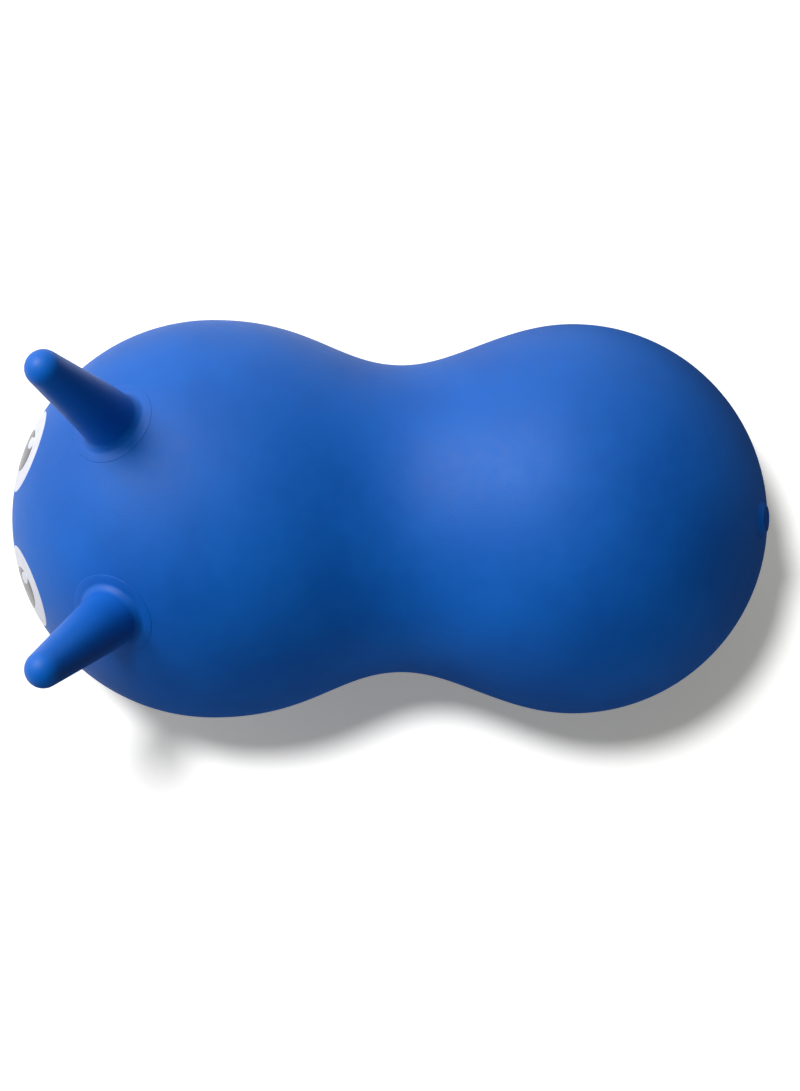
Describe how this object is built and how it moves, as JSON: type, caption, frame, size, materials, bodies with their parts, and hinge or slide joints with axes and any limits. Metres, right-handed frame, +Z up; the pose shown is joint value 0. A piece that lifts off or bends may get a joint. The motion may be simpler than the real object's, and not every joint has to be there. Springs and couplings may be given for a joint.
{
  "type": "inflatable animal hopper",
  "caption": "Air-filled two-lobed ride-on animal hopper with horn hand grips, printed eyes, a waist to sit on and a pull-out stopper valve at the tail.",
  "frame": {"origin": "on the floor, under the middle of the body's length", "axes": "+Z up, the animal looks towards -Y, its left side is +X"},
  "size_m": [0.2842, 0.5376, 0.3527],
  "materials": {
    "skin_vinyl": "satin",
    "horn_vinyl": "satin",
    "valve_vinyl": "satin",
    "plug_vinyl": "satin",
    "white_ink": "satin",
    "black_ink": "satin"
  },
  "bodies": {
    "body": {"body_shell": "skin_vinyl", "horn_left": "horn_vinyl", "horn_right": "horn_vinyl", "valve_bush": "valve_vinyl", "eye_white_left": "white_ink", "eye_white_right": "white_ink", "eye_pupil_left": "black_ink", "eye_pupil_right": "black_ink", "eye_catchlight_left": "white_ink", "eye_catchlight_right": "white_ink"},
    "plug": {"valve_plug": "plug_vinyl"}
  },
  "joints": [
    {"name": "plug_pull", "type": "slide", "parent": "body", "child": "plug", "axis": [0, 0.9322, 0.362], "range_m": [0, 0.022]}
  ]
}
